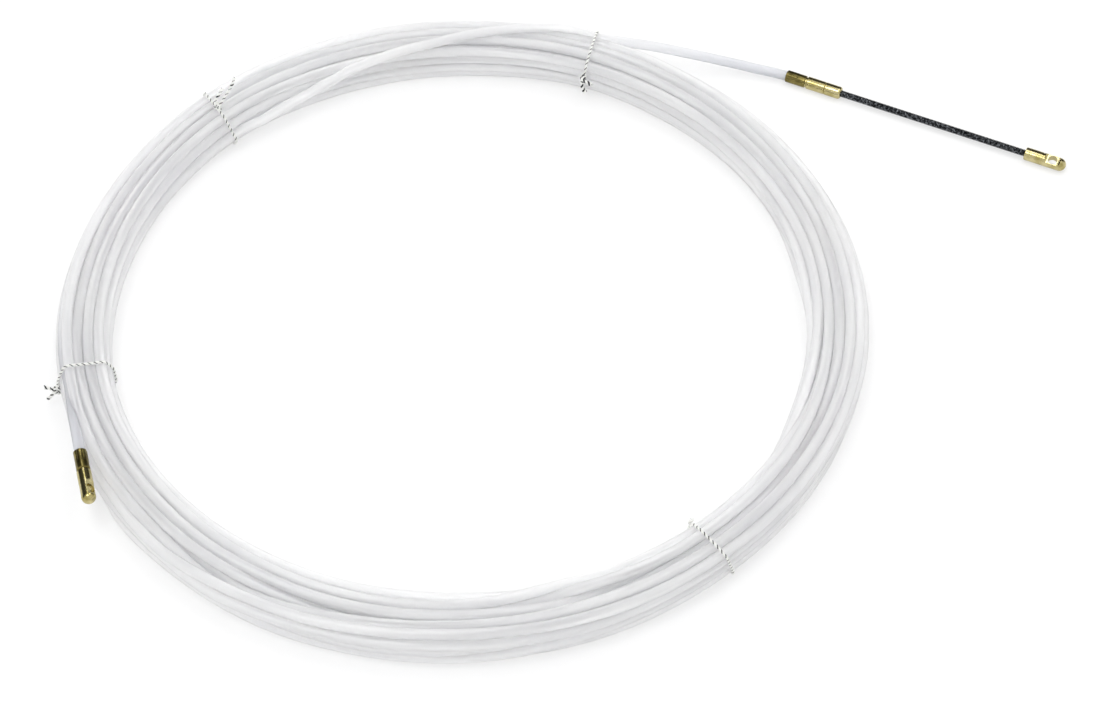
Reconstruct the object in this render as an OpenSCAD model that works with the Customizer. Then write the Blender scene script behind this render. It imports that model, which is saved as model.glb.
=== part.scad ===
// Nylon fish tape, wound into a flat coil and tied at four places with string.
// One end has a brass-tipped spring leader, the other a brass eye.
// Both ends screw into a crimped brass ferrule.

/* [Nylon tape] */
// Diameter of the nylon tape
tape_d = 4; // [3:0.1:4.2]
// Radius of the coil at the middle of its turns
coil_r = 142; // [136:1:148]
// Number of strand layers, bottom to top
layers = 5; // [5:2:7]
// Strands in a long layer; the layers between have one less
long_layer = 5; // [4:1:6]
// Spacing of the strands across the coil
strand_pitch = 4.5; // [4.3:0.1:4.8]
// Spacing of the layers
layer_pitch = 3.75; // [3.6:0.05:3.9]

/* [String ties] */
// Diameter of the string
string_d = 1.4; // [1:0.1:2]
// Room between the string and the strands that it holds
string_gap = 0.15; // [0.1:0.05:0.4]
// Diameter of the knot
knot_d = 2.8; // [2.2:0.1:3.4]
// Length of the cut string ends at each knot
string_end = 6; // [3:0.5:8]

/* [Ferrules] */
// Outer diameter of the ferrule crimped on the tape
ferrule_d = 5; // [4.8:0.1:5.2]
// Length of the ferrule
ferrule_len = 8.5; // [7.5:0.5:10]
// Depth that the tape goes into the ferrule
tape_depth = 5; // [4:0.5:5]
// Number of crimp flutes around the ferrule
flutes = 6; // [4:1:8]
// Length of the crimp flutes
flute_len = 5.4; // [4:0.1:6]
// Depth of the crimp flutes
flute_depth = 0.3; // [0.1:0.05:0.35]

/* [Screw studs] */
// Diameter of the stud that screws into a ferrule
stud_d = 3; // [2.6:0.1:3]
// Length of the stud
stud_len = 3; // [2.5:0.1:3]
// Play between stud and ferrule, on the radius
stud_play = 0.04; // [0.02:0.01:0.1]
// Width of the relief groove beside the ferrule
relief_w = 0.6; // [0.4:0.1:1]
// Diameter in the relief groove
relief_d = 4.1; // [3.8:0.1:4.4]

/* [Leader fittings] */
// Diameter of the connector and of the spring cup
connector_d = 5.2; // [5:0.1:5.3]
// Length of the connector, groove included
connector_len = 8.5; // [7.5:0.5:10]
// Length of the cup that holds the spring
cup_len = 7; // [6:0.5:8]
// Rounding of the cup's mouth
cup_round = 1; // [0.4:0.1:1]

/* [Leader spring] */
// Wire thickness of the close-wound spring
wire_d = 0.6; // [0.5:0.05:0.7]
// Outer diameter of the spring
spring_d = 2.9; // [2.8:0.1:3.1]
// Diameter of the steel cable inside the spring
core_d = 1.4; // [1:0.1:1.4]
// Spring coils from one bend to the next
coils_per_bend = 16; // [12:2:18]
// Gap between coils at a bend
bend_gap = 0.3; // [0.3:0.05:0.5]
// Spring coils held inside the cup, and inside the tip
held_coils = 7; // [5:1:7]

/* [Eyes] */
// Diameter of the leader's tip and of the tail's eye
eye_d = 5.3; // [5.1:0.1:5.4]
// Length of the leader's tip
tip_len = 17; // [16:0.5:19]
// From the foot of the leader's tip to its ring groove
ring_at = 7.2; // [6:0.1:7.4]
// Length of the tail's eye beyond the ferrule
tail_len = 14.6; // [14:0.1:16]
// Thickness of the web left between the two milled flats
web_t = 3.3; // [2.8:0.1:3.6]
// Diameter of the pulling hole through the web
hole_d = 3.9; // [3:0.1:4]
// From the top of the ball nose to the middle of the hole
hole_from_nose = 5.6; // [5.2:0.1:6]
// Radius of the cutter that milled the flats
cutter_r = 1.2; // [0.8:0.1:1.4]

/* [Hidden] */
$fn = 48;

nylon = [0.87, 0.88, 0.87];
string_white = [0.93, 0.93, 0.92];
dark_brass = [0.48, 0.41, 0.2];
bright_brass = [0.8, 0.7, 0.34];
spring_steel = [0.2, 0.21, 0.22];
cable_steel = [0.55, 0.56, 0.58];

// The coil stands on its strings, so the lowest strands are a string above the floor
coil_z = string_d + string_gap + tape_d / 2 + (layers - 1) / 2 * layer_pitch;

// Where each tie crosses the coil, and the place of its knot around the bundle
tie_angle = [133.5, 69.5, 193, 309.5];
knot_step = [13, 18, 9, 26];
knot_lean = [1, -1, 1, -1];

// Ends of the leader and of the tail, which lie level
leader_start = [131, 132, eye_d / 2];
leader_heading = -25;
tip_roll = 14;
tail_start = [-135.8, -72.2, 18];
tail_heading = -75;
tail_roll = -53;

// Tape from the coil to the two ferrules
leader_route = [
    [56.4, 139.5, 14.5], [64, 141.2, 12.8], [72, 141.4, 11], [80, 141, 9.5], [88, 140.2, 8.1],
    [96, 139.2, 6.8], [104, 138, 5.5], [112, 136.7, 4.3], [119, 135.2, 3.4], [125.5, 133.8, 2.8]
];
tail_route = [[-143, -42, 15], [-141.4, -50, 16.2], [-139.9, -56.5, 17.2], [-138.2, -63, 17.8]];

// The spring bends at eight places, half a stretch from each end
bends = 8;
bend_pitch = coils_per_bend * wire_d + bend_gap;
spring_len = bends * bend_pitch;
spring_start = ferrule_len + connector_len + cup_len;
tip_start = spring_start + spring_len;
held_len = held_coils * wire_d;
coil_mean_r = (spring_d - wire_d) / 2;
spring_bore = core_d + 0.2;
socket_d = spring_d + 0.1;
core_held = held_len + 0.8;

// Bevel on turned edges, and the lap that keeps a cutting shape clear of a face
edge = 0.25;
lap = 1;

function strands_in(layer) = layer % 2 == 0 ? long_layer - 1 : long_layer;
function strand_at(layer, k) = [
    coil_r + (k - (strands_in(layer) - 1) / 2) * strand_pitch,
    coil_z + (layer - (layers - 1) / 2) * layer_pitch
];
function outer_strand(layer) = strand_at(layer, strands_in(layer) - 1);
function inner_strand(layer) = strand_at(layer, 0);

function unit(v) = v / norm(v);
function along(heading) = [cos(heading), sin(heading), 0];

// Direction of a path at its point k; a closed path runs on past its end
function path_dir(path, k, closed) =
    let (n = len(path))
    closed ? unit(path[(k + 1) % n] - path[(k + n - 1) % n])
           : unit(path[min(k + 1, n - 1)] - path[max(k - 1, 0)]);

// Ring of points around a path, square to it
function tube_ring(path, k, d, sides, across, closed) =
    let (t = path_dir(path, k, closed), u = unit(cross(across, t)), v = cross(t, u))
    [for (s = [0:sides - 1]) path[k] + d / 2 * (cos(360 * s / sides) * u + sin(360 * s / sides) * v)];

// Round tube along a path
module tube(path, d, sides, across, closed = false) {
    n = len(path);
    points = [for (k = [0:n - 1]) each tube_ring(path, k, d, sides, across, closed)];
    walls = [
        for (k = [0:n - (closed ? 1 : 2)], s = [0:sides - 1])
            let (a = k * sides, b = (k + 1) % n * sides, s2 = (s + 1) % sides)
            [a + s, b + s, b + s2, a + s2]
    ];
    first_end = [for (s = [0:sides - 1]) s];
    last_end = [for (s = [sides - 1:-1:0]) (n - 1) * sides + s];
    polyhedron(points, closed ? walls : concat(walls, [first_end, last_end]));
}

// Round rod with ball ends from a to b
module rod(a, b, d) {
    v = b - a;
    translate(a)
        rotate([0, acos(v.z / norm(v)), atan2(v.y, v.x)]) {
            cylinder(d = d, h = norm(v));
            sphere(d = d);
            translate([0, 0, norm(v)]) sphere(d = d);
        }
}

// Places a shape that runs along Z on the leader's or the tail's axis
module on_axis(start, heading, roll, s) {
    translate(start)
        rotate([0, 0, heading])
            rotate([roll, 0, 0])
                rotate([0, 90, 0])
                    translate([0, 0, s]) children();
}

module on_leader(s, roll = 0) {
    on_axis(leader_start, leader_heading, roll, s) children();
}

module on_tail(s) {
    on_axis(tail_start, tail_heading, tail_roll, s) children();
}

// Turned cylinder with bevelled rims, from its foot up
module turned(d, h) {
    rotate_extrude()
        polygon([[0, 0], [d / 2 - edge, 0], [d / 2, edge], [d / 2, h - edge], [d / 2 - edge, h], [0, h]]);
}

// The wound turns: strands in staggered layers, closed up between the outer ones
module tape_coil() {
    outer_side = [for (i = [0:layers - 1]) outer_strand(i)];
    inner_side = [for (i = [layers - 1:-1:0]) inner_strand(i)];
    color(nylon)
        rotate_extrude($fn = 96) {
            polygon(concat(outer_side, inner_side));
            for (i = [0:layers - 1], k = [0:strands_in(i) - 1])
                translate(strand_at(i, k)) circle(d = tape_d);
        }
}

module tape_leader_run() {
    seat = leader_start + tape_depth * along(leader_heading);
    color(nylon) tube(concat(leader_route, [leader_start, seat]), tape_d, 10, [0, 0, 1]);
}

module tape_tail_run() {
    seat = tail_start + tape_depth * along(tail_heading);
    color(nylon) tube(concat(tail_route, [tail_start, seat]), tape_d, 10, [0, 0, 1]);
}

// Outline of a tie around the bundle: arcs on the corner strands, straight between them
corner_strands = [
    outer_strand(0), outer_strand(1), outer_strand(layers - 2), outer_strand(layers - 1),
    inner_strand(layers - 1), inner_strand(layers - 2), inner_strand(1), inner_strand(0)
];
corner_steps = 4;
function side_angle(a, b) = atan2(a.x - b.x, b.y - a.y);
function corner_angle(k, f) =
    let (
        n = len(corner_strands),
        here = corner_strands[k],
        from = side_angle(corner_strands[(k + n - 1) % n], here),
        turn = side_angle(here, corner_strands[(k + 1) % n]) - from
    )
    from + f * (turn - 360 * floor(turn / 360));
function around(k, f) = let (a = corner_angle(k, f)) [cos(a), sin(a)];
tie_r = tape_d / 2 + string_gap + string_d / 2;
tie_out = [
    for (k = [0:len(corner_strands) - 1], j = [0:corner_steps - 1]) around(k, j / (corner_steps - 1))
];
tie_outline = [
    for (k = [0:len(corner_strands) - 1], j = [0:corner_steps - 1])
        corner_strands[k] + tie_r * tie_out[k * corner_steps + j]
];
function upright(p, angle) = [p.x * cos(angle), p.x * sin(angle), p.y];

// String round the bundle, with its knot and two cut ends
module string_tie(t) {
    a = tie_angle[t];
    step = knot_step[t];
    out = upright(tie_out[step], a);
    side = along(a + 90);
    knot = upright(tie_outline[step], a) + (knot_d - string_d) / 2 * out;
    color(string_white) {
        tube([for (p = tie_outline) upright(p, a)], string_d, 8, side, true);
        translate(knot) sphere(d = knot_d);
        rod(knot, knot + string_end * unit(out + knot_lean[t] * side), string_d);
        rod(knot, knot + string_end * 0.7 * unit(out - 0.6 * knot_lean[t] * side), string_d);
    }
}

module tie_top_left() {
    string_tie(0);
}

module tie_top_right() {
    string_tie(1);
}

module tie_left() {
    string_tie(2);
}

module tie_bottom_right() {
    string_tie(3);
}

// Crimped sleeve: tape seat at its foot, screw hole at its top, round-ended crimp flutes
module ferrule() {
    flute_r = 0.8;
    color(dark_brass)
        difference() {
            turned(ferrule_d, ferrule_len);
            translate([0, 0, -lap]) cylinder(d = tape_d, h = tape_depth + lap);
            cylinder(r = stud_d / 2 + stud_play, h = ferrule_len + lap);
            for (k = [0:flutes - 1])
                rotate([0, 0, (k + 0.5) * 360 / flutes])
                    translate([ferrule_d / 2 - flute_depth + flute_r, 0, -lap]) {
                        cylinder(r = flute_r, h = flute_len - flute_r + lap);
                        translate([0, 0, flute_len - flute_r + lap]) sphere(r = flute_r);
                    }
        }
}

module leader_ferrule() {
    on_leader(0) ferrule();
}

module tail_ferrule() {
    on_tail(0) ferrule();
}

// Screw stud below the foot, then the relief groove above it
module stud() {
    translate([0, 0, -stud_len]) cylinder(d = stud_d, h = stud_len + lap);
    cylinder(d = relief_d, h = relief_w + lap);
}

spigot_d = 3.4;
spigot_len = 1.6;

// Barrel that screws into the ferrule and carries the spring cup on a spigot
module leader_connector() {
    color(bright_brass)
        on_leader(ferrule_len) {
            stud();
            translate([0, 0, relief_w]) turned(connector_d, connector_len - relief_w);
            translate([0, 0, connector_len - lap]) cylinder(d = spigot_d, h = spigot_len + lap);
        }
}

// Cup with a rounded mouth; the spring and its cable sit in its bore
module leader_cup() {
    color(bright_brass)
        on_leader(ferrule_len + connector_len)
            difference() {
                rotate_extrude() {
                    polygon([
                        [0, 0], [connector_d / 2 - edge, 0], [connector_d / 2, edge],
                        [connector_d / 2, cup_len - cup_round], [0, cup_len - cup_round]
                    ]);
                    square([connector_d / 2 - cup_round, cup_len]);
                    translate([connector_d / 2 - cup_round, cup_len - cup_round]) circle(r = cup_round);
                }
                translate([0, 0, -lap]) cylinder(d = spigot_d, h = spigot_len + lap);
                cylinder(d = spring_bore, h = cup_len);
                translate([0, 0, cup_len - held_len]) cylinder(d = socket_d, h = held_len + lap);
            }
}

// Side view of one milled flat, from the web outwards, round at both ends as the cutter left it
module flat_profile() {
    flat_len = hole_d + 0.3;
    for (end = [-1, 1])
        translate([cutter_r, end * flat_len / 2]) circle(r = cutter_r);
    translate([0, -flat_len / 2]) square([eye_d, flat_len]);
    translate([cutter_r, -flat_len / 2 - cutter_r]) square([eye_d, flat_len + 2 * cutter_r]);
}

// Round bar with a ball nose, milled flat on two sides behind it and drilled for the pulling line
module eye_bar(length) {
    difference() {
        union() {
            rotate_extrude()
                polygon([
                    [0, 0], [eye_d / 2 - edge, 0], [eye_d / 2, edge],
                    [eye_d / 2, length - eye_d / 2], [0, length - eye_d / 2]
                ]);
            translate([0, 0, length - eye_d / 2]) sphere(d = eye_d);
        }
        translate([0, 0, length - hole_from_nose]) {
            for (side = [0, 180])
                rotate([0, 0, side])
                    translate([web_t / 2, 0, 0])
                        rotate([90, 0, 0])
                            linear_extrude(eye_d + 2 * lap, center = true) flat_profile();
            rotate([0, 90, 0]) cylinder(d = hole_d, h = eye_d + 2 * lap, center = true);
        }
    }
}

// Shallow groove turned round the tip where its sleeve ends
module ring_groove() {
    rotate_extrude()
        translate([eye_d / 2 - 0.2, ring_at]) square([lap, 0.4]);
}

module leader_tip() {
    color(bright_brass)
        on_leader(tip_start, tip_roll)
            difference() {
                eye_bar(tip_len);
                ring_groove();
                translate([0, 0, -lap]) cylinder(d = socket_d, h = held_len + lap);
                cylinder(d = spring_bore, h = core_held + 0.2);
            }
}

module tail_eye() {
    color(bright_brass)
        on_tail(ferrule_len) {
            stud();
            translate([0, 0, relief_w]) eye_bar(tail_len - relief_w);
        }
}

// Stretch k of the spring or cable: both ends, from the start of the spring
function stretch_from(k, held) = k == 0 ? -held : (k - 0.5) * bend_pitch + bend_gap / 2;
function stretch_to(k, held) = k == bends ? spring_len + held : (k + 0.5) * bend_pitch - bend_gap / 2;

// One stretch of close-wound coils
module spring_stretch(k) {
    low = stretch_from(k, held_len);
    high = stretch_to(k, held_len);
    coils = round((high - low) / wire_d);
    color(spring_steel)
        on_leader(spring_start)
            rotate_extrude($fn = 32) {
                translate([spring_bore / 2, low + wire_d / 2])
                    square([coil_mean_r + 0.05 - spring_bore / 2, high - low - wire_d]);
                for (c = [0:coils - 1])
                    translate([coil_mean_r, low + (c + 0.5) * wire_d]) circle(d = wire_d, $fn = 24);
            }
}

// One stretch of the steel cable inside
module core_stretch(k) {
    low = stretch_from(k, core_held);
    color(cable_steel)
        on_leader(spring_start + low) cylinder(d = core_d, h = stretch_to(k, core_held) - low);
}

tape_coil();
tape_leader_run();
tape_tail_run();
tie_top_left();
tie_top_right();
tie_left();
tie_bottom_right();
leader_ferrule();
tail_ferrule();
tail_eye();
leader_connector();
leader_cup();
leader_tip();
for (k = [0:bends]) {
    spring_stretch(k);
    core_stretch(k);
}
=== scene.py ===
import math

import bmesh
import bpy
import numpy as np
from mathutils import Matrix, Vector


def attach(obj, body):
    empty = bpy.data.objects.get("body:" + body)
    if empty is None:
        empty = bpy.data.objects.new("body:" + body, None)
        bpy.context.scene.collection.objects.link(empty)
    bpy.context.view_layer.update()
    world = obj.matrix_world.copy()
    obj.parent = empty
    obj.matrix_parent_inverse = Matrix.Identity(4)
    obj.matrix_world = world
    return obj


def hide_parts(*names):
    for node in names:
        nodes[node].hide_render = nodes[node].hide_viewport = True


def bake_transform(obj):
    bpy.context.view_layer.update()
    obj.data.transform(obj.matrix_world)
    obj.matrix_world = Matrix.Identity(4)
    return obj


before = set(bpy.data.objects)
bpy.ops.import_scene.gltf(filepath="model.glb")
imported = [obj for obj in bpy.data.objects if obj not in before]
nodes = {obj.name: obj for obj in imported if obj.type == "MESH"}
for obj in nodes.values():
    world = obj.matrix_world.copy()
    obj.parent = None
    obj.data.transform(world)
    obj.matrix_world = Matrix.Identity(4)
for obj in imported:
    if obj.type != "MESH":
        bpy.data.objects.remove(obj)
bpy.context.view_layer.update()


# Tape: one 20 m length of round nylon, drawn to 4 mm and wound by hand into a flat coil of 22 turns.
# The first turn climbs over the others from the inside and leaves for the leader. The last one leaves the
# outer shoulder for the tail. The turns press on each other, and the ties gather them at four places.
tape_d = 0.004
tape_length = 20.0
tape_seat = 0.005
coil_r = 0.142
coil_z = 0.01105
turns = 22
stations = 120
# Angles round the coil and headings, in degrees
tie_angles = {"tie_top_left": 133.5, "tie_top_right": 69.5, "tie_left": 193.0, "tie_bottom_right": 309.5}
leaves_for_leader, leaves_for_tail = 69.5, 196.5
leader_heading, tail_heading = -25, -75
# The two free stretches, each from the coil to its ferrule
leader_route = [
    (0.064, 0.1405, 0.0136), (0.072, 0.141, 0.0116), (0.08, 0.1408, 0.0098), (0.088, 0.14, 0.0083),
    (0.096, 0.1391, 0.0069), (0.104, 0.138, 0.0055), (0.112, 0.1367, 0.0043), (0.119, 0.1352, 0.0034),
    (0.1255, 0.1338, 0.0028),
]
tail_route = [(-0.1414, -0.05, 0.0162), (-0.1399, -0.0565, 0.0172), (-0.1382, -0.063, 0.0178)]
leader_start = Vector((0.131, 0.132, 0.00265))
leader_way = Vector((math.cos(math.radians(leader_heading)), math.sin(math.radians(leader_heading)), 0))
tail_start = Vector((-0.1358, -0.0722, 0.018))
tail_way = Vector((math.cos(math.radians(tail_heading)), math.sin(math.radians(tail_heading)), 0))


def eased(share):
    """A share from 0 to 1 with a soft start and a soft end."""
    return share * share * (3 - 2 * share)


# The winding is worked out as radius and height at each step round the coil
steps = round((turns + (leaves_for_tail - leaves_for_leader) / 360) * stations)
turn, station = np.divmod(np.arange(steps + 1), stations)
angle = leaves_for_leader + np.arange(steps + 1) * 360 / stations

# Places across the coil in the order they were wound, column after column from the inside out
column_step, row_step = 0.00218, 0.0037
outer_shoulder = (0.0092, 0.0065)
places = []
for column in range(9):
    rows = (-1, 1) if column % 2 == 0 else (2, 0, -2)
    places += [((column - 4) * column_step, row * row_step) for row in rows]
places = np.array(places + [outer_shoulder] * 2)

# Each turn moves on to the next place once the turn after it has left there, so an open place runs through
# the coil
shift_starts, shift_length = 0.74 - 0.025 * turn, 0.24
share = eased(np.clip((station / stations - shift_starts) / shift_length, 0, 1))[:, None]
lay = places[turn] * (1 - share) + places[turn + 1] * share + (coil_r, coil_z)

# A hand doesn't lay the turns quite evenly: each wanders a little, by five marks a turn
wander = (0.0004, 0.0003)
chance = np.random.default_rng(4)
marks = chance.normal(0, wander, ((turns + 1) * 5 + 2, 2))
along = np.linspace(0, len(marks) - 1.001, steps + 1)
before = along.astype(int)
share = eased((along - before)[:, None])
lay += marks[before] * (1 - share) + marks[before + 1] * share

# The first turn crosses over the top, from the outer edge at one tie to the inner edge at the next, and starts
# well clear of the others
crossing_ends = 131
outer_edge, crossing_width, clear_height = 0.1503, 0.0203, 0.026
leader_leaves_at, tail_leaves_at = (outer_edge, 0.0156), (0.1491, 0.015)
crossing = angle <= crossing_ends
crossed = (angle[crossing] - leaves_for_leader) / (crossing_ends - leaves_for_leader)
crossing_r = outer_edge - crossing_width * (1 - (1 - crossed ** 1.3) ** 3)
glides_at = np.interp(angle[crossing], (69.5, 76, 98, 131), (0.0156, 0.0175, 0.0175, 0.0085))
lifts_after = 0.08
lay[crossing] = np.column_stack([crossing_r, np.full(len(crossed), clear_height)])

# How far the turns spread to each side of their middle round the coil, in degrees and metres, tightest at the
# ties, and how far their middle lies out of round
spread_at = (69.5, 101, 133.5, 163, 193, 213, 234, 262, 290, 309.5, 325, 350, 370, 400, 429.5)
spread = (0.0074, 0.0070, 0.0076, 0.0076, 0.0068, 0.0070, 0.0096, 0.0101,
          0.0073, 0.0063, 0.0060, 0.0088, 0.0098, 0.0086, 0.0074)
out_of_round = (0, 0, 0.0004, 0, 0.0007, 0.0006, -0.0004, -0.002,
                -0.0012, -0.0002, 0.0002, 0, 0.0004, 0.0012, 0)
station_angle = leaves_for_leader + np.arange(stations) * 360 / stations

# A tie pulls in full up to 4 degrees away and not at all past 14, and its string lifts the turns off the table
string_lift = 0.00145
tie_pull = np.zeros(stations)
for tie in tie_angles.values():
    away = np.abs((station_angle - tie + 180) % 360 - 180)
    tie_pull = np.maximum(tie_pull, np.clip(1.4 - away / 10, 0, 1))
floor_z = tape_d / 2 + string_lift * tie_pull[station]

# Where the turns spread wide they lie low: half the width times half the height stays about the same
half_area, least_height, most_height = 5.45e-5, 0.006, 0.0088
room = np.interp(station_angle, spread_at, spread)
room = np.column_stack([room, np.clip(half_area / room, least_height, most_height)])[station]
middle_r = coil_r + np.interp(station_angle, spread_at, out_of_round)[station]
middle = np.column_stack([middle_r, floor_z + room[:, 1]])
hold = 0.12 + 0.2 * tie_pull[station][:, None]

# Between the left and the bottom tie, the outer turns stand apart from the rest
parted = 0.0024 * np.interp(station_angle, (198, 222, 240, 285), (0, 1, 1, 0))[station]
parting_r = middle[:, 0] + 0.0073

rounds, sinks_by, keeps_apart = 450, 0.00002, 1.005 * tape_d
grid = np.empty((turns + 1, stations, 2))
for _ in range(rounds):
    # The tape's own stiffness evens it out, it sinks a little, and what stands too far out is drawn in
    for _ in range(2):
        lay[1:-1] = (lay[:-2] + 2 * lay[1:-1] + lay[2:]) / 4
    lay[:, 1] -= sinks_by
    away = lay - middle
    reach = np.maximum(((away / room) ** 4).sum(1) ** 0.25, 1)[:, None]
    lay -= hold * away * (1 - 1 / reach)
    from_parting = lay[:, 0] - parting_r
    lay[:, 0] += 0.1 * np.sign(from_parting) * np.clip(parted - np.abs(from_parting), 0, None)
    lay[crossing, 0] = crossing_r
    # Turns that overlap push each other apart; a station that a turn doesn't reach is put far off
    for _ in range(2):
        grid[:] = 1 + np.arange(turns + 1)[:, None, None]
        grid[turn, station] = lay
        apart = grid[:, None] - grid[None]
        gap = np.linalg.norm(apart, axis=-1) + np.eye(turns + 1)[:, :, None]
        overlap = np.clip(keeps_apart - gap, 0, None)
        touching = np.maximum((overlap > 0).sum(1), 1)
        push = (apart * (0.5 * overlap / gap)[..., None]).sum(1) / np.sqrt(touching)[..., None]
        lay += push[turn, station]
    # Nothing goes below the table, and the crossing turn rides on those under it
    lay[:, 1] = np.maximum(lay[:, 1], floor_z)
    under = grid[1:, station[crossing]]
    aside = np.abs(under[..., 0] - crossing_r)
    rides_at = under[..., 1] + np.sqrt(np.clip(tape_d ** 2 - aside ** 2, 0, None))
    rides_at = np.where(aside < tape_d, rides_at, 0).max(0)
    rides_at = np.where(crossed > lifts_after, np.maximum(rides_at, glides_at), 0)
    lay[crossing, 1] = np.maximum(lay[crossing, 1], rides_at)
    lay[0] = leader_leaves_at
    lay[-1] = tail_leaves_at

turned = np.radians(angle)
coil_line = np.column_stack([lay[:, 0] * np.cos(turned), lay[:, 0] * np.sin(turned), lay[:, 1]])
leader_line = [leader_start + leader_way * tape_seat, leader_start] + [Vector(p) for p in reversed(leader_route)]
tail_line = [Vector(p) for p in tail_route] + [tail_start, tail_start + tail_way * tape_seat]
tape_line = np.vstack([leader_line, coil_line, tail_line])


def linear(hex_colour):
    """An sRGB hex colour as linear red, green, blue and alpha."""
    channels = [int(hex_colour[i:i + 2], 16) / 255 for i in (1, 3, 5)]
    return [c / 12.92 if c <= 0.04045 else ((c + 0.055) / 1.055) ** 2.4 for c in channels] + [1.0]


def add_node(tree, kind, settings=(), **inputs):
    """A node of that kind; an input is a value, or an output socket to link from."""
    node = tree.nodes.new(kind)
    for name, value in dict(settings).items():
        setattr(node, name, value)
    for name, value in inputs.items():
        key = int(name[1:]) if name[0] == "_" and name[1:].isdigit() else name.replace("_", " ")
        if isinstance(value, bpy.types.NodeSocket):
            tree.links.new(value, node.inputs[key])
        else:
            node.inputs[key].default_value = value
    return node


def new_material(name):
    """A material, its nodes and its shader."""
    material = bpy.data.materials.new(name)
    material.use_nodes = True
    return material, material.node_tree, material.node_tree.nodes["Principled BSDF"]


def round_wires(name, lines, radius, detail, materials, thickness=(1, 1, 1)):
    """A curve of round wires, one along each line, each with the material and the thickness of its own number."""
    curve = bpy.data.curves.new(name, "CURVE")
    for material in materials:
        curve.materials.append(material)
    curve.dimensions = "3D"
    curve.bevel_depth = radius
    curve.bevel_resolution = detail
    curve.use_fill_caps = True
    for number, line in enumerate(lines):
        spline = curve.splines.new("POLY")
        spline.points.add(len(line) - 1)
        spline.points.foreach_set("co", np.column_stack([line, np.ones(len(line))]).ravel())
        spline.points.foreach_set("radius", thickness[number] * np.ones(len(line)))
        spline.material_index = number
        spline.use_smooth = True
    wires = bpy.data.objects.new(name, curve)
    bpy.context.scene.collection.objects.link(wires)
    return wires


# Natural nylon 6, drawn through a die: milky, so that light spreads along and between the strands and leaves
# little shade there. Milkier and clearer lines run along it from the die, drawn a millimetre apart to show, and
# it clouds from place to place. Solid nylon bends light more; this low value keeps the coil's even look
die_line_length, die_line_width, cloud_width = 0.06, 0.001, 0.03
nylon, tree, shader = new_material("drawn_natural_nylon")
place = add_node(tree, "ShaderNodeTexCoord")
along_tape = add_node(tree, "ShaderNodeMapping", Vector=place.outputs["UV"],
                      Scale=(tape_length / die_line_length, math.pi * tape_d / die_line_width, 1))
drawn = add_node(tree, "ShaderNodeTexNoise", {"noise_dimensions": "2D"},
                 Vector=along_tape.outputs["Vector"], Scale=1.0, Detail=2.0)
cloud = add_node(tree, "ShaderNodeTexNoise", Vector=place.outputs["Object"], Scale=1 / cloud_width, Detail=2.0)
milk = add_node(tree, "ShaderNodeMath", {"operation": "ADD"}, _0=cloud.outputs["Fac"], _1=drawn.outputs["Fac"])
milk = add_node(tree, "ShaderNodeMapRange", Value=milk.outputs[0], From_Min=0.75, From_Max=1.25)
colour = add_node(tree, "ShaderNodeMix", {"data_type": "RGBA"},
                  _0=milk.outputs["Result"], _6=linear("#ffffff"), _7=linear("#fcfcfd"))
clear = add_node(tree, "ShaderNodeMapRange", Value=drawn.outputs["Fac"],
                 From_Min=0.35, From_Max=0.65, To_Min=0.4, To_Max=0.7)
rough = add_node(tree, "ShaderNodeMapRange", Value=drawn.outputs["Fac"],
                 From_Min=0.3, From_Max=0.7, To_Min=0.4, To_Max=0.6)
relief = add_node(tree, "ShaderNodeBump", Height=drawn.outputs["Fac"], Strength=0.3, Distance=0.00004)
# The free runs at the two ends are painted a darker grey: painted shade for a lone strand lying over the white
# table
run = add_node(tree, "ShaderNodeSeparateXYZ", Vector=place.outputs["UV"])
from_end = add_node(tree, "ShaderNodeMath", {"operation": "PINGPONG"}, _0=run.outputs["X"], _1=0.5)
painted_end_shade = add_node(tree, "ShaderNodeMapRange", Value=from_end.outputs[0],
                   From_Min=0.0016, From_Max=0.0046, To_Min=1.0, To_Max=0.0)
# Painted shade: the last few centimetres at each end take the darker grey
colour = add_node(tree, "ShaderNodeMix", {"data_type": "RGBA"},
                  _0=painted_end_shade.outputs["Result"], _6=colour.outputs[2], _7=linear("#dbdce0"))
tree.links.new(colour.outputs[2], shader.inputs["Base Color"])
tree.links.new(clear.outputs["Result"], shader.inputs["Transmission Weight"])
tree.links.new(rough.outputs["Result"], shader.inputs["Roughness"])
tree.links.new(relief.outputs["Normal"], shader.inputs["Normal"])
shader.inputs["Subsurface Weight"].default_value = 1.0
shader.inputs["Subsurface Radius"].default_value = (1, 1, 1)
shader.inputs["Subsurface Scale"].default_value = 0.0045
shader.inputs["IOR"].default_value = 1.09
shader.inputs["Coat Weight"].default_value = 0.04
shader.inputs["Coat Roughness"].default_value = 0.25

tape = round_wires("tape", [tape_line], tape_d / 2, 6, [nylon])
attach(tape, "coil")
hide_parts("tape_coil", "tape_leader_run", "tape_tail_run")


# String ties: soft cotton string of three plies, one of them black, passed once round the turns and closed
# with a square knot. The cut ends stand off the knot, and their plies open a little.
string_d = 0.0012
string_ply_r = 0.232 * string_d
string_pitch = 0.0022
knot_half = 0.0016
knot_wrap = 0.46 * string_d
ends_open_over = 0.0025
# How each loop lies off its own section of the coil: along the coil, per metre outwards and per metre up
tie_lies = {
    "tie_top_left": (0.0024, -0.1, 0.2), "tie_top_right": (0, 0.12, 0),
    "tie_left": (0.0012, 0, 0), "tie_bottom_right": (0.0016, 0, -0.24),
}
tie_sway, lean_from_z = 0.0008, 0.006
# Where each knot sits round the bundle, in degrees from its outer side and over the top
knot_places = {"tie_top_left": 105, "tie_top_right": 174, "tie_left": -19, "tie_bottom_right": 182}
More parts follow.
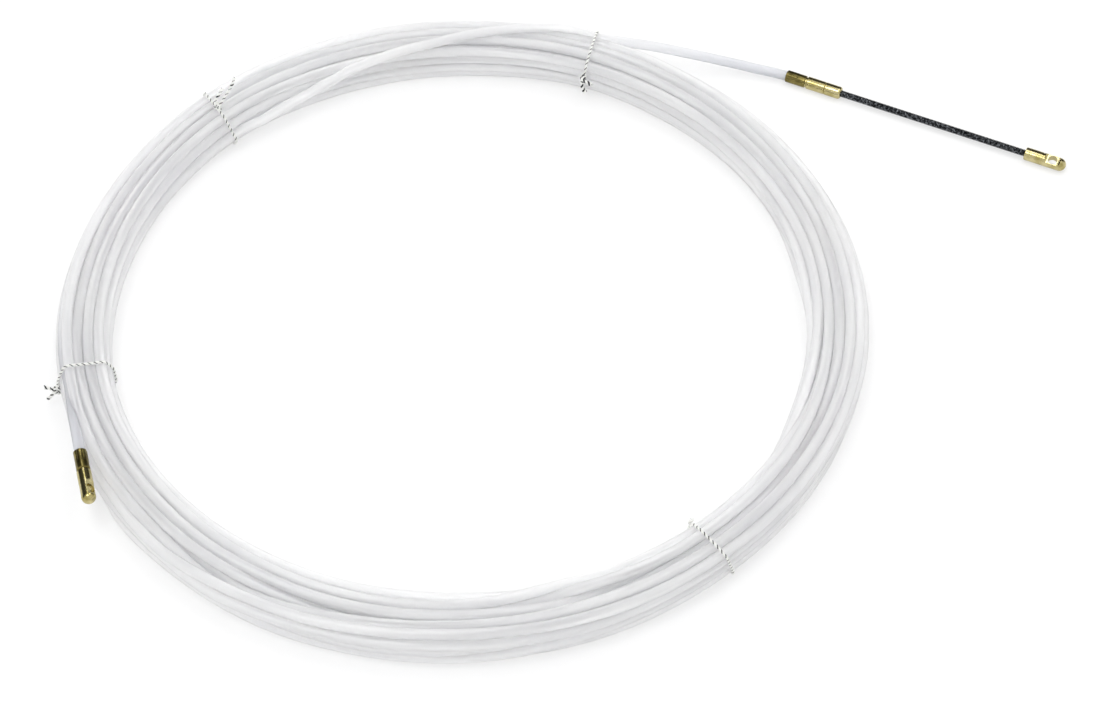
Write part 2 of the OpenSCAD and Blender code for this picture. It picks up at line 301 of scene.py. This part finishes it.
# The black ply's share of a full ply's thickness, by the distance from a cut end: on each knot it shows more
# or less
black_ply = {
    "tie_top_left": ((0.002, 0.003, 0.0045, 0.0055, 0.012), (0.3, 1.3, 1.3, 0.3, 0.62)),
    "tie_top_right": ((0.01, 0.014), (1.5, 0.5)),
    "tie_left": ((0.01, 0.014), (0.9, 0.5)),
    "tie_bottom_right": ((0.01, 0.014), (0.15, 0.62)),
}
# The two cut ends of each string from its knot on: along the loop, along the coil and outwards
string_ends = {
    "tie_top_left": ([(0, -0.0015, 0.003), (0, -0.004, 0.0055)],
                     [(-0.001, -0.004, 0.0025), (-0.002, -0.008, 0.0045), (-0.002, -0.0095, 0.0085)]),
    "tie_top_right": ([(0.0004, -0.0022, 0.001), (0.0012, -0.0045, 0.0008)],
                      [(0.002, -0.0006, 0.0008), (0.0042, -0.0014, 0.0003)]),
    "tie_left": ([(-0.0004, 0.0007, 0.0016), (-0.0006, 0.0011, 0.0032)],
                 [(0.0006, -0.0006, 0.0014), (0.001, -0.0009, 0.0028)]),
    "tie_bottom_right": ([(-0.001, 0.0006, 0.0006), (-0.0018, 0.001, 0.0004)],
                         [(0.001, 0.0004, 0.0006), (0.0016, 0.0008, 0.0003)]),
}


def distances(points):
    """How far along a line each of its points is."""
    return np.append(0, np.cumsum(np.linalg.norm(np.diff(points, axis=0), axis=1)))


def points_at(even, travel, points):
    """The points of a line at those distances along it."""
    return np.column_stack([np.interp(even, travel, points[:, k]) for k in range(points.shape[1])])


def even_line(points, spacing, easing):
    """Points at an even spacing along a line, its corners eased, and how far along each one is."""
    for _ in range(2):
        travel = distances(points)
        even = np.linspace(0, travel[-1], round(travel[-1] / spacing) + 1)
        points = points_at(even, travel, points)
        for _ in range(easing):
            points[1:-1] = (points[:-2] + 2 * points[1:-1] + points[2:]) / 4
    return points, even


def wind(line, travel, radius, pitch, start=0.0):
    """A line wound round another at that radius, with one turn in each pitch."""
    way = np.gradient(line, axis=0)
    way /= np.linalg.norm(way, axis=1)[:, None]
    side = np.cross(way, (0.31, 0.42, 0.85))
    for i in range(len(side)):
        before = side[max(i - 1, 0)]
        side[i] = before - before.dot(way[i]) * way[i]
        side[i] /= np.linalg.norm(side[i])
    turned = 2 * np.pi * (travel / pitch + start)
    reach = np.broadcast_to(radius, turned.shape)
    return (line + (reach * np.cos(turned))[:, None] * side
            + (reach * np.sin(turned))[:, None] * np.cross(way, side))


# Spun cotton: dull, with short fibres that break up its edge light; a fibre is drawn coarse, at 0.2 mm, to show
def spun_cotton(name, pale, deep):
    cotton, tree, shader = new_material(name)
    place = add_node(tree, "ShaderNodeTexCoord")
    fibre = add_node(tree, "ShaderNodeTexNoise", Vector=place.outputs["Object"], Scale=1 / 0.0002, Detail=2.0)
    colour = add_node(tree, "ShaderNodeMix", {"data_type": "RGBA"},
                      _0=fibre.outputs["Fac"], _6=linear(pale), _7=linear(deep))
    relief = add_node(tree, "ShaderNodeBump", Height=fibre.outputs["Fac"], Strength=0.6, Distance=0.0001)
    tree.links.new(colour.outputs[2], shader.inputs["Base Color"])
    tree.links.new(relief.outputs["Normal"], shader.inputs["Normal"])
    shader.inputs["Roughness"].default_value = 0.85
    shader.inputs["Sheen Weight"].default_value = 0.25
    return cotton


white_cotton = spun_cotton("white_cotton", "#fafaf7", "#ecece8")
black_cotton = spun_cotton("black_cotton", "#26262a", "#0c0c0e")
for tie_name, tie_angle in tie_angles.items():
    out = np.array([math.cos(math.radians(tie_angle)), math.sin(math.radians(tie_angle)), 0])
    across = np.array([-out[1], out[0], 0])
    up = np.array([0, 0, 1.0])

    # The loop is drawn tight round the turns at its own station, and starts and ends at the knot
    here = station == round((tie_angle - leaves_for_leader) % 360 / 360 * stations) % stations
    turned = np.linspace(0, 2 * math.pi, 241)
    off = np.column_stack([np.cos(turned), np.sin(turned)])
    section = lay[here][np.argmax(off @ lay[here].T, axis=1)] + (tape_d + string_d) / 2 * off
    travel = distances(section)
    section = points_at(np.linspace(0, travel[-1], 401)[:-1], travel, section)
    from_middle = section - (section.max(0) + section.min(0)) / 2
    turned = np.arctan2(from_middle[:, 1], from_middle[:, 0]) - math.radians(knot_places[tie_name])
    section = np.roll(section, -np.argmax(np.cos(turned)), axis=0)
    way_r, way_z = (section[3] - section[-3]) / np.linalg.norm(section[3] - section[-3])
    section = np.vstack([section, section[:1]])
    shift, slant, lean = tie_lies[tie_name]
    lead = shift + slant * (section[:, 0] - coil_r) + lean * (section[:, 1] - lean_from_z)
    lead += tie_sway * np.sin(np.linspace(0, 2 * math.pi, len(section)))
    loop = section[:, :1] * out + section[:, 1:] * up + lead[:, None] * across

    # Each half of the knot wraps the other half low, bends back and wraps it again higher up
    knot_out = way_z * out - way_r * up
    knot_along = way_r * out + way_z * up
    share = np.linspace(0, 1, 25)[:, None]
    spun = 3 * np.pi * share - np.pi / 2
    low = (knot_half * (2 * share - 1) * knot_along
           + knot_wrap * (np.cos(spun) * across + (1 + np.sin(spun)) * knot_out))
    high = (0.85 * knot_half * (1 - 2 * share) * knot_along
            + knot_wrap * (np.cos(spun) * across + (3.6 + np.sin(spun)) * knot_out))
    bend = 1.5 * knot_half * knot_along + knot_wrap * 2.3 * knot_out
    axes = np.array([knot_along, across, knot_out])
    first_end, second_end = [np.array([(0, 0, 0.0006)] + points) @ axes for points in string_ends[tie_name]]
    first = np.vstack([low, [bend], high])
    second = first @ axes.T * (-1, -1, 1) @ axes
    first = np.vstack([first, first[-1] + first_end])
    second = np.vstack([second, second[-1] + second_end])
    string_line = np.vstack([second[::-1] + loop[0], loop[8:-8], first + loop[0]])
    string_line, travel = even_line(string_line, 0.00014, 3)

    from_cut = np.minimum(travel, travel[-1] - travel)
    opening = np.maximum(0, 1 - from_cut / ends_open_over)
    black = np.interp(from_cut, *black_ply[tie_name])
    twist_r = (string_d / 2 - string_ply_r) * (1 + 0.9 * opening)
    plies = [wind(string_line, travel, twist_r, string_pitch, k / 3) for k in range(3)]
    cottons = (white_cotton, white_cotton, black_cotton)
    tie = round_wires(tie_name + "_string", plies, string_ply_r, 1, cottons, (1, 1, black))
    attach(tie, "coil")
    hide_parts(tie_name)


# Ferrules: short brass tubes crimped with six flutes on the tape's two ends, which they hold by friction.
# They keep the dull brown skin that the crimping tool leaves.
def brass(name, heading, bright, dull, roughness):
    """Brass worked on a lathe whose axis has that heading: fine rings from the tool, and a little tarnish."""
    metal, tree, shader = new_material(name)
    place = add_node(tree, "ShaderNodeTexCoord")
    axis = add_node(tree, "ShaderNodeMapping", Vector=place.outputs["Object"],
                    Rotation=(0, 0, math.radians(-heading)))
    # A wave's bands are 0.314 apart at a scale of 1; the tool's rings are drawn coarse, 0.4 mm apart, to show
    rings = add_node(tree, "ShaderNodeTexWave", {"bands_direction": "X"}, Vector=axis.outputs["Vector"],
                     Scale=0.314 / 0.0004, Distortion=1.5, Detail=2.0)
    tarnish = add_node(tree, "ShaderNodeTexNoise", Vector=place.outputs["Object"], Scale=1 / 0.003, Detail=4.0)
    ramp = add_node(tree, "ShaderNodeMapRange", Value=tarnish.outputs["Fac"], From_Min=0.35, From_Max=0.7)
    colour = add_node(tree, "ShaderNodeMix", {"data_type": "RGBA"},
                      _0=ramp.outputs["Result"], _6=linear(bright), _7=linear(dull))
    rough = add_node(tree, "ShaderNodeMapRange", Value=tarnish.outputs["Fac"],
                     To_Min=roughness * 0.75, To_Max=roughness * 1.4)
    relief = add_node(tree, "ShaderNodeBump", Height=rings.outputs["Fac"], Strength=0.25, Distance=0.00003)
    tree.links.new(colour.outputs[2], shader.inputs["Base Color"])
    tree.links.new(rough.outputs["Result"], shader.inputs["Roughness"])
    tree.links.new(relief.outputs["Normal"], shader.inputs["Normal"])
    shader.inputs["Metallic"].default_value = 1.0
    return metal


for node, heading in (("leader_ferrule", leader_heading), ("tail_ferrule", tail_heading)):
    nodes[node].data.materials.clear()
    nodes[node].data.materials.append(brass(f"crimped_{node}_brass", heading, "#8f834e", "#5f5630", 0.28))


# Connector, cup, tip and tail eye: turned from brass bar and left bright, with flats milled on the two eyes.
# The connector and the tail eye screw into the ferrules, the cup sits on the connector, and the tip ends the
# spring.
for node, heading in (("leader_connector", leader_heading), ("leader_cup", leader_heading),
                      ("leader_tip", leader_heading), ("tail_eye", tail_heading)):
    nodes[node].data.materials.clear()
    nodes[node].data.materials.append(brass(f"turned_{node}_brass", heading, "#cdc294", "#a3975c", 0.2))


# Spring and cable: 0.6 mm hard steel wire wound close on a thin steel cable, gripped in the cup and in the tip.
# Each stretch crosses one bend of the leader, and the wire goes on without a break into the next.
wire_d = 0.0006
spring_d = 0.0029
cable_d = 0.0014
cable_pitch = 0.008
spring_from = 0.024
bend_pitch = 0.0099
bends = 8
held = 0.004
# Black-oxide spring wire, worn: almost black, with bright flecks of bare steel where the oxide has rubbed off
spring_wire, tree, shader = new_material("worn_black_spring_wire")
place = add_node(tree, "ShaderNodeTexCoord")
mottle = add_node(tree, "ShaderNodeTexNoise", Vector=place.outputs["Object"], Scale=1 / 0.0007, Detail=3.0)
rough = add_node(tree, "ShaderNodeMapRange", Value=mottle.outputs["Fac"],
                 From_Min=0.3, From_Max=0.7, To_Min=0.15, To_Max=0.35)
bare = add_node(tree, "ShaderNodeMapRange", Value=mottle.outputs["Fac"], From_Min=0.44, From_Max=0.66)
colour = add_node(tree, "ShaderNodeMix", {"data_type": "RGBA"},
                  _0=bare.outputs["Result"], _6=linear("#121316"), _7=linear("#8a8d92"))
tree.links.new(rough.outputs["Result"], shader.inputs["Roughness"])
tree.links.new(colour.outputs[2], shader.inputs["Base Color"])
shader.inputs["Metallic"].default_value = 1.0
# Drawn steel strands: plain grey metal, a little cloudy from the oil on them
cable_steel, tree, shader = new_material("drawn_cable_steel")
place = add_node(tree, "ShaderNodeTexCoord")
mottle = add_node(tree, "ShaderNodeTexNoise", Vector=place.outputs["Object"], Scale=1 / 0.001, Detail=3.0)
rough = add_node(tree, "ShaderNodeMapRange", Value=mottle.outputs["Fac"], To_Min=0.25, To_Max=0.4)
colour = add_node(tree, "ShaderNodeMix", {"data_type": "RGBA"},
                  _0=mottle.outputs["Fac"], _6=linear("#a8aaad"), _7=linear("#8f9195"))
tree.links.new(rough.outputs["Result"], shader.inputs["Roughness"])
tree.links.new(colour.outputs[2], shader.inputs["Base Color"])
shader.inputs["Metallic"].default_value = 1.0


def as_mesh(wires):
    """The same wires as a mesh object with no parent."""
    mesh = bpy.data.meshes.new_from_object(wires)
    name = wires.name
    bpy.data.objects.remove(wires)
    piece = bpy.data.objects.new(name, mesh)
    bpy.context.scene.collection.objects.link(piece)
    return piece


for k in range(1, bends + 1):
    start = spring_from + (k - 1) * bend_pitch
    end = start + bend_pitch
    reach_from = start - held if k == 1 else start
    reach_to = end + held if k == bends else end
    travel = np.arange(reach_from, reach_to + wire_d / 28, wire_d / 14)
    line = np.array(leader_start) + travel[:, None] * np.array(leader_way)
    coils = [wind(line, travel, (spring_d - wire_d) / 2, wire_d)]
    spring = as_mesh(round_wires(f"spring_{k}", coils, 0.48 * wire_d, 1, [spring_wire]))
    travel = np.linspace(reach_from, reach_to, 40)
    line = np.array(leader_start) + travel[:, None] * np.array(leader_way)
    strands = [wind(line, travel, 0.268 * cable_d, cable_pitch, i / 3) for i in range(3)]
    cable = as_mesh(round_wires(f"cable_{k}", strands, 0.232 * cable_d, 1, [cable_steel]))
    for piece in (spring, cable):
        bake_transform(piece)
    last = [bends + 1] if k == bends else []
    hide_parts(*[f"leader_spring_{i}" for i in [k] + last])
    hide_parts(*[f"leader_core_{i}" for i in [k] + last])


# Stage: a pale table under soft studio light, and a camera about a metre away that looks down on the coil.
# The table is white paper, and part of its white is its own, so that it stays white and keeps the shadow.
own_white = 0.55
stage_mesh = bpy.data.meshes.new("table")
table = bmesh.new()
bmesh.ops.create_grid(table, x_segments=1, y_segments=1, size=6)
table.to_mesh(stage_mesh)
table.free()
floor = bpy.data.objects.new("table", stage_mesh)
bpy.context.scene.collection.objects.link(floor)
paper, tree, shader = new_material("white_paper")
shader.inputs["Base Color"].default_value = linear("#f2f2f2")
shader.inputs["Roughness"].default_value = 0.9
shader.inputs["Specular IOR Level"].default_value = 0.1
path = add_node(tree, "ShaderNodeLightPath")
sight = add_node(tree, "ShaderNodeMath", {"operation": "MAXIMUM"},
                 _0=path.outputs["Is Camera Ray"], _1=path.outputs["Is Transmission Ray"])
sight = add_node(tree, "ShaderNodeMath", {"operation": "MAXIMUM"},
                 _0=sight.outputs[0], _1=path.outputs["Is Glossy Ray"])
sight = add_node(tree, "ShaderNodeMath", {"operation": "MULTIPLY"}, _0=sight.outputs[0], _1=own_white)
glow = add_node(tree, "ShaderNodeEmission", Color=(1, 1, 1, 1), Strength=1.0)
mix = add_node(tree, "ShaderNodeMixShader", _0=sight.outputs[0], _1=shader.outputs[0], _2=glow.outputs[0])
tree.links.new(mix.outputs[0], tree.nodes["Material Output"].inputs["Surface"])
stage_mesh.materials.append(paper)

# The room's far side is dark to high up, as polished pieces see it: it draws the dark edge along each bright
# fitting
room_light, far_side_light = 0.92, 0.04
world = bpy.data.worlds.new("studio")
world.use_nodes = True
bpy.context.scene.world = world
tree = world.node_tree
way = add_node(tree, "ShaderNodeTexCoord")
height = add_node(tree, "ShaderNodeSeparateXYZ", Vector=way.outputs["Generated"])
low = add_node(tree, "ShaderNodeMapRange", {"interpolation_type": "SMOOTHSTEP"}, Value=height.outputs["Z"],
               From_Min=0.82, From_Max=0.94, To_Min=1.0, To_Max=0.0)
far_side = add_node(tree, "ShaderNodeVectorMath", {"operation": "DOT_PRODUCT"},
                    _0=way.outputs["Generated"], _1=(-0.35, 0.94, 0.0))
far = add_node(tree, "ShaderNodeMapRange", {"interpolation_type": "SMOOTHSTEP"},
               Value=far_side.outputs["Value"], From_Min=-0.1, From_Max=0.2)
dark = add_node(tree, "ShaderNodeMath", {"operation": "MULTIPLY"},
                _0=low.outputs["Result"], _1=far.outputs["Result"])
path = add_node(tree, "ShaderNodeLightPath")
dark = add_node(tree, "ShaderNodeMath", {"operation": "MULTIPLY"},
                _0=dark.outputs[0], _1=path.outputs["Is Glossy Ray"])
light = add_node(tree, "ShaderNodeMapRange", Value=dark.outputs[0], To_Min=room_light, To_Max=far_side_light)
tree.nodes["Background"].inputs["Color"].default_value = (1, 1, 1, 1)
tree.links.new(light.outputs["Result"], tree.nodes["Background"].inputs["Strength"])


def add_lamp(name, place, aim, size, power):
    """A round soft lamp at that place, turned to its aim."""
    light = bpy.data.lights.new(name, "AREA")
    light.shape = "DISK"
    light.size = size
    light.energy = power
    lamp = bpy.data.objects.new(name, light)
    lamp.location = place
    lamp.rotation_euler = (Vector(aim) - Vector(place)).to_track_quat("-Z", "Y").to_euler()
    bpy.context.scene.collection.objects.link(lamp)


add_lamp("key_lamp", (-0.3, -0.3, 1.4), (0, 0, 0), 0.5, 4.5)
add_lamp("fill_lamp", (0.4, 0.35, 1.3), (0.1, 0, 0), 0.5, 2.8)
add_lamp("back_lamp", (-0.35, 0.8, 1.0), (0, 0, 0), 0.3, 1.4)

# Light goes through many strands before it comes out of the coil again
paths = bpy.context.scene.cycles
paths.max_bounces = 32
paths.transmission_bounces = 32
paths.diffuse_bounces = 16

# The focal length is in pixels of the 1097 pixels wide image
image_width, focal_length = 1097, 2600
camera_aim = Vector((0.0326, -0.0121, 0))
camera_away = 0.986
camera_rise = math.radians(51.4)
camera = bpy.data.objects.new("camera", bpy.data.cameras.new("camera"))
camera.data.sensor_width = 36
camera.data.lens = 36 * focal_length / image_width
camera.location = camera_aim + camera_away * Vector((0, -math.cos(camera_rise), math.sin(camera_rise)))
camera.rotation_euler = (math.pi / 2 - camera_rise, 0, 0)
bpy.context.scene.collection.objects.link(camera)
bpy.context.scene.camera = camera
bpy.context.scene.view_settings.view_transform = "Standard"
